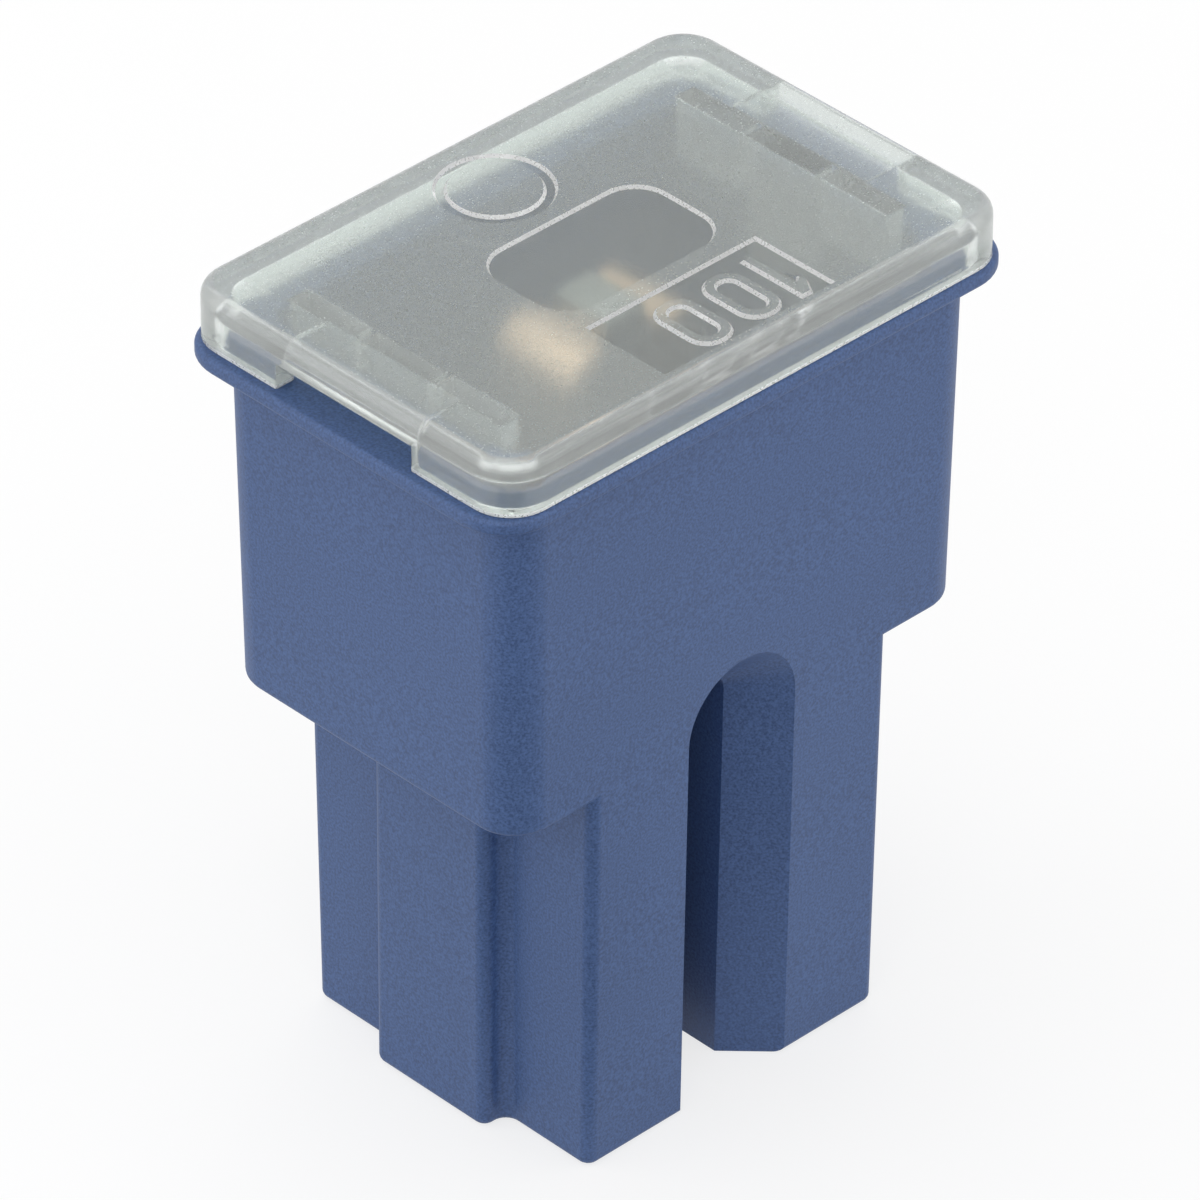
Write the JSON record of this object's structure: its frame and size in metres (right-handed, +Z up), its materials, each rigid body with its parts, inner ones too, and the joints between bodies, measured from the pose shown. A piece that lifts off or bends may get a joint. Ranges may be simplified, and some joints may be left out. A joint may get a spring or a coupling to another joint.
{
  "type": "fusible link",
  "caption": "Female cartridge fusible link: stepped blue housing with blade sockets in its legs, flanged top and a frosted clear push-fit cover.",
  "frame": {"origin": "centre of the object's base, on the plane of the two legs' feet", "axes": "+Z up from the feet to the cover, +X along the long side of the flange, +Y along its short side"},
  "size_m": [0.024, 0.016, 0.0315],
  "materials": {
    "housing_plastic": "slate-blue moulded polyamide, fine spark-eroded texture",
    "cover_plastic": "clear polycarbonate, frosted, with polished window and rating panel",
    "element_copper": "bright copper alloy strip",
    "pellet_tin": "dull low-melting tin alloy",
    "clip_steel": "stainless spring strip"
  },
  "bodies": {
    "root": {"housing": "housing_plastic", "cover": "cover_plastic", "fuse_element": "element_copper", "tin_pellet": "pellet_tin", "spring_clip_left": "clip_steel", "spring_clip_right": "clip_steel"}
  },
  "joints": []
}
